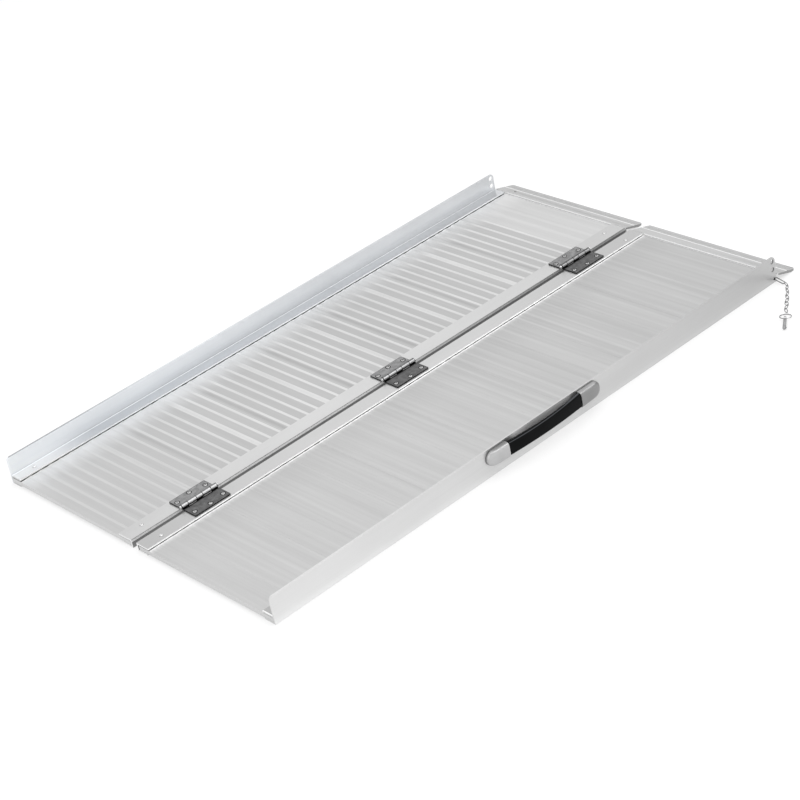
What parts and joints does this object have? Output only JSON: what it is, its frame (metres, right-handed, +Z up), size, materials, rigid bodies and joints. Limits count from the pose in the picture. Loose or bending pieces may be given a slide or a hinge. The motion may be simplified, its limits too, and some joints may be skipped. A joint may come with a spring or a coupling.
{
  "type": "portable folding wheelchair ramp",
  "caption": "Portable aluminium ramp: two ribbed deck panels with side curbs and transition lips, folded together along hinges, with a carrying handle and a tethered lock pin.",
  "frame": {"origin": "middle of the open ramp's footprint, handle included and tether left out, on the surface that it lies on", "axes": "+X along the ramp to the end with the transition lips, +Y across it from the panel with the handle to the other panel, +Z up"},
  "size_m": [1.27, 0.8557, 0.052],
  "materials": {
    "rail_aluminium": "mill finish extrusion, satin",
    "deck_aluminium": "mill finish extrusion, ribbed",
    "hinge_steel": "plain stainless",
    "bright_steel": "bright plated",
    "cap_plastic": "silver coated, glossy",
    "grip_rubber": "smooth satin",
    "strap_steel": "plain"
  },
  "bodies": {
    "near_panel": {"handle_cap_bottom_end": "cap_plastic", "handle_cap_top_end": "cap_plastic", "handle_grip": "grip_rubber", "handle_rivet_bottom_end": "bright_steel", "handle_rivet_top_end": "bright_steel", "handle_strap": "strap_steel", "hinge_1_near_leaf": "hinge_steel", "hinge_1_near_screw_1": "bright_steel", "hinge_1_near_screw_2": "bright_steel", "hinge_1_near_screw_3": "bright_steel", "hinge_1_pin": "bright_steel", "hinge_2_near_leaf": "hinge_steel", "hinge_2_near_screw_1": "bright_steel", "hinge_2_near_screw_2": "bright_steel", "hinge_2_near_screw_3": "bright_steel", "hinge_2_pin": "bright_steel", "hinge_3_near_leaf": "hinge_steel", "hinge_3_near_screw_1": "bright_steel", "hinge_3_near_screw_2": "bright_steel", "hinge_3_near_screw_3": "bright_steel", "hinge_3_pin": "bright_steel", "locking_pin": "bright_steel", "near_centre_rail": "rail_aluminium", "near_deck_plank_1": "deck_aluminium", "near_deck_plank_2": "deck_aluminium", "near_deck_plank_3": "deck_aluminium", "near_deck_plank_4": "deck_aluminium", "near_deck_plank_5": "deck_aluminium", "near_deck_plank_6": "deck_aluminium", "near_deck_plank_7": "deck_aluminium", "near_end_plank": "deck_aluminium", "near_lip": "rail_aluminium", "near_side_rail": "rail_aluminium", "tether_chain": "bright_steel", "tether_link": "bright_steel", "tether_split_ring": "bright_steel"},
    "far_panel": {"far_centre_rail": "rail_aluminium", "far_deck_plank_1": "deck_aluminium", "far_deck_plank_2": "deck_aluminium", "far_deck_plank_3": "deck_aluminium", "far_deck_plank_4": "deck_aluminium", "far_deck_plank_5": "deck_aluminium", "far_deck_plank_6": "deck_aluminium", "far_deck_plank_7": "deck_aluminium", "far_end_plank": "deck_aluminium", "far_lip": "rail_aluminium", "far_side_rail": "rail_aluminium", "hinge_1_far_leaf": "hinge_steel", "hinge_1_far_screw_1": "bright_steel", "hinge_1_far_screw_2": "bright_steel", "hinge_1_far_screw_3": "bright_steel", "hinge_2_far_leaf": "hinge_steel", "hinge_2_far_screw_1": "bright_steel", "hinge_2_far_screw_2": "bright_steel", "hinge_2_far_screw_3": "bright_steel", "hinge_3_far_leaf": "hinge_steel", "hinge_3_far_screw_1": "bright_steel", "hinge_3_far_screw_2": "bright_steel", "hinge_3_far_screw_3": "bright_steel"}
  },
  "joints": [
    {"name": "fold", "type": "hinge", "parent": "near_panel", "child": "far_panel", "pos_m": [0, 0.0128, 0.0206], "axis": [1, 0, 0], "range_deg": [0, 175.5]}
  ]
}
